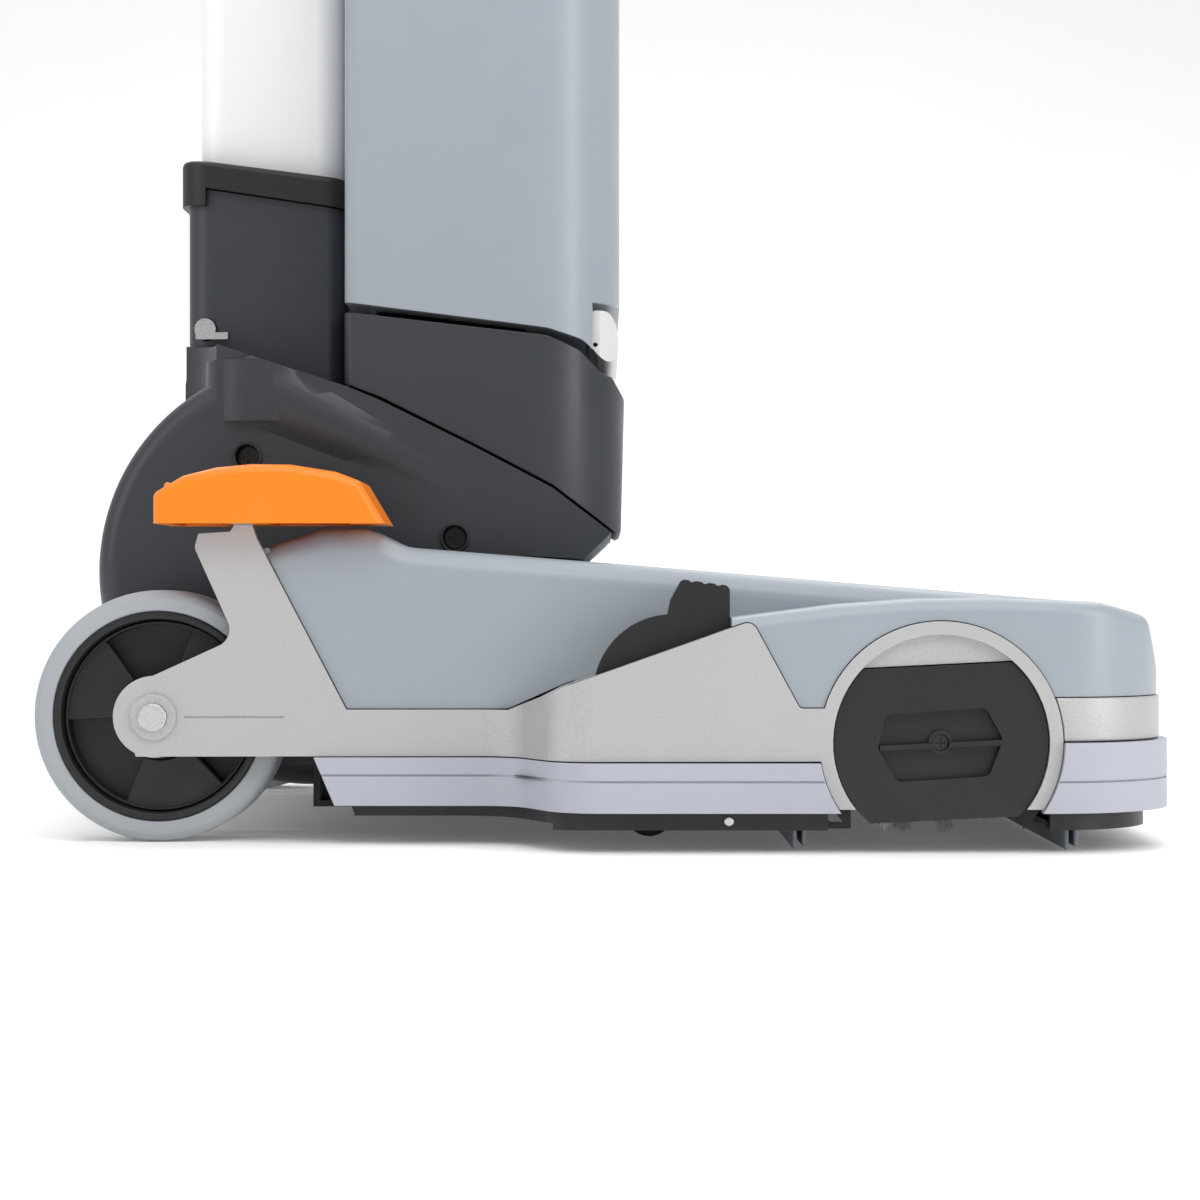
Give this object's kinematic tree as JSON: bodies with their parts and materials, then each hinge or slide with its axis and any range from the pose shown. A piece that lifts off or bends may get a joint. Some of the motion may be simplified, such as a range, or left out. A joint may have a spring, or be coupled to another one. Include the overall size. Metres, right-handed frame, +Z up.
{
  "type": "carpet sweeper",
  "caption": "Upright electric carpet sweeper with a low brush head, rear wheels, foot pedals and a tilting body with a dust housing.",
  "frame": {"origin": "on the floor at the middle of the outline, upper body upright", "axes": "+X towards the nose, +Y to the machine's left, +Z up"},
  "size_m": [0.45, 0.446, 1.1495],
  "materials": {
    "charcoal": "moulded charcoal plastic, fine grain",
    "black_plastic": "black plastic, fine grain",
    "light_grey": "light grey moulded plastic, satin",
    "silver": "silver lacquered plastic, satin",
    "bumper_rubber": "lavender-grey soft rubber",
    "tyre_rubber": "grey wheel rubber",
    "orange": "orange moulded plastic, satin",
    "steel": "turned steel",
    "black_metal": "black coated sheet",
    "white_column": "white coated aluminium extrusion",
    "bristle": "white nylon bristle",
    "blade_rubber": "grey rubber strip",
    "bag_cloth": "cream filter cloth",
    "motor_alu": "cast motor case",
    "latch_white": "off-white plastic"
  },
  "bodies": {
    "base": {"chassis": "black_plastic", "deck_cover": "light_grey", "side_frame_right": "silver", "side_frame_left": "silver", "front_band": "silver", "bumper_nose": "bumper_rubber", "bumper_right": "bumper_rubber", "bumper_left": "bumper_rubber", "pivot_cheek_right": "black_metal", "pivot_cheek_left": "black_metal", "stub_axles": "steel", "under_screws": "steel", "blades_rear": "blade_rubber", "blades_front": "blade_rubber", "brush_motor": "motor_alu", "drive_belt": "tyre_rubber", "roller_pin": "steel", "dial_bracket": "black_plastic", "pedal_pins": "steel"},
    "wheel_right": {"rim_right": "black_plastic", "tyre_right": "tyre_rubber"},
    "wheel_left": {"rim_left": "black_plastic", "tyre_left": "tyre_rubber"},
    "brush": {"brush_core": "black_plastic", "brush_tufts": "bristle"},
    "pulley": {"motor_pulley": "black_plastic"},
    "cap_right": {"end_cap_right": "black_plastic", "cap_screw_right": "black_metal"},
    "cap_left": {"end_cap_left": "black_plastic", "cap_screw_left": "black_metal"},
    "fork_right": {"roller_fork_right": "black_plastic"},
    "fork_left": {"roller_fork_left": "black_plastic"},
    "roller_right": {"support_roller_right": "black_plastic"},
    "roller_left": {"support_roller_left": "black_plastic"},
    "dial": {"height_dial": "black_plastic"},
    "foot_pedal_right": {"pedal_right": "orange"},
    "foot_pedal_left": {"pedal_left": "orange"},
    "upper_body": {"drum_right": "charcoal", "drum_left": "charcoal", "trunnions": "charcoal", "body_screws": "black_metal", "screw_rings": "black_plastic", "socket": "charcoal", "socket_collar": "black_plastic", "socket_button": "black_plastic", "column": "white_column", "cradle": "charcoal", "dust_housing": "light_grey", "filter_bag": "bag_cloth", "motor_filter": "black_plastic", "suction_motor": "motor_alu", "motor_mount": "black_plastic", "column_clamp": "charcoal"},
    "fan": {"fan_wheel": "black_plastic"},
    "catch": {"socket_catch": "steel"},
    "latch": {"housing_latch": "latch_white"},
    "lid": {"housing_lid": "charcoal"},
    "handle": {"handle_tube": "steel", "handle_grip": "charcoal"},
    "switch": {"switch_slider": "orange"}
  },
  "joints": [
    {"name": "body_tilt", "type": "hinge", "parent": "base", "child": "upper_body", "pos_m": [-0.122, 0, 0.108], "axis": [0, -1, 0], "range_deg": [0, 75]},
    {"name": "wheel_right_spin", "type": "hinge", "parent": "base", "child": "wheel_right", "pos_m": [-0.175, -0.153, 0.05], "axis": [0, 1, 0], "continuous": true},
    {"name": "wheel_left_spin", "type": "hinge", "parent": "base", "child": "wheel_left", "pos_m": [-0.175, 0.153, 0.05], "axis": [0, 1, 0], "continuous": true},
    {"name": "brush_spin", "type": "hinge", "parent": "base", "child": "brush", "pos_m": [0.129, 0, 0.042], "axis": [0, 1, 0], "continuous": true},
    {"name": "pulley_spin", "type": "hinge", "parent": "base", "child": "pulley", "pos_m": [0.058, 0.184, 0.036], "axis": [0, 1, 0], "continuous": true},
    {"name": "cap_right_pull", "type": "slide", "parent": "base", "child": "cap_right", "axis": [0, -1, 0], "range_m": [0, 0.06]},
    {"name": "cap_left_pull", "type": "slide", "parent": "base", "child": "cap_left", "axis": [0, 1, 0], "range_m": [0, 0.06]},
    {"name": "dial_turn", "type": "hinge", "parent": "base", "child": "dial", "pos_m": [0.028, -0.2, 0.06], "axis": [0, -1, 0], "range_deg": [0, 45]},
    {"name": "fork_right_lift", "type": "hinge", "parent": "base", "child": "fork_right", "pos_m": [0.049, -0.131, 0.012], "axis": [0, 1, 0], "range_deg": [0, 14]},
    {"name": "fork_left_lift", "type": "hinge", "parent": "base", "child": "fork_left", "pos_m": [0.049, 0.131, 0.012], "axis": [0, 1, 0], "range_deg": [0, 14]},
    {"name": "roller_right_spin", "type": "hinge", "parent": "fork_right", "child": "roller_right", "pos_m": [0.02, -0.131, 0.01], "axis": [0, 1, 0], "continuous": true},
    {"name": "roller_left_spin", "type": "hinge", "parent": "fork_left", "child": "roller_left", "pos_m": [0.02, 0.131, 0.01], "axis": [0, 1, 0], "continuous": true},
    {"name": "pedal_right_press", "type": "hinge", "parent": "base", "child": "foot_pedal_right", "pos_m": [-0.14, -0.167, 0.1305], "axis": [0, -1, 0], "range_deg": [0, 7], "stiffness_Nm_per_rad": 6, "springref_deg": -4.58},
    {"name": "pedal_left_press", "type": "hinge", "parent": "base", "child": "foot_pedal_left", "pos_m": [-0.14, 0.167, 0.1305], "axis": [0, -1, 0], "range_deg": [0, 7], "stiffness_Nm_per_rad": 6, "springref_deg": -4.58},
    {"name": "fan_spin", "type": "hinge", "parent": "upper_body", "child": "fan", "pos_m": [-0.122, 0.04, 0.108], "axis": [0, 1, 0], "continuous": true},
    {"name": "catch_turn", "type": "hinge", "parent": "upper_body", "child": "catch", "pos_m": [-0.172, -0.058, 0.214], "axis": [0, -1, 0], "range_deg": [0, 30], "stiffness_Nm_per_rad": 0.05, "springref_deg": -11.46},
    {"name": "latch_open", "type": "hinge", "parent": "upper_body", "child": "latch", "pos_m": [-0.002, 0, 0.205], "axis": [0, 1, 0], "range_deg": [0, 20], "stiffness_Nm_per_rad": 0.3, "springref_deg": -11.46},
    {"name": "lid_lift", "type": "slide", "parent": "upper_body", "child": "lid", "axis": [0, 0, 1], "range_m": [0, 0.06]},
    {"name": "handle_slide", "type": "slide", "parent": "upper_body", "child": "handle", "axis": [0, 0, 1], "range_m": [-0.17, 0]},
    {"name": "switch_slide", "type": "slide", "parent": "handle", "child": "switch", "axis": [-1, 0, 0], "range_m": [0, 0.005]}
  ],
  "couplings": [
    {"joint": "pulley_spin", "follows": "brush_spin", "ratio": 2.645},
    {"joint": "fork_right_lift", "follows": "dial_turn", "ratio": 0.3},
    {"joint": "fork_left_lift", "follows": "dial_turn", "ratio": 0.3}
  ]
}
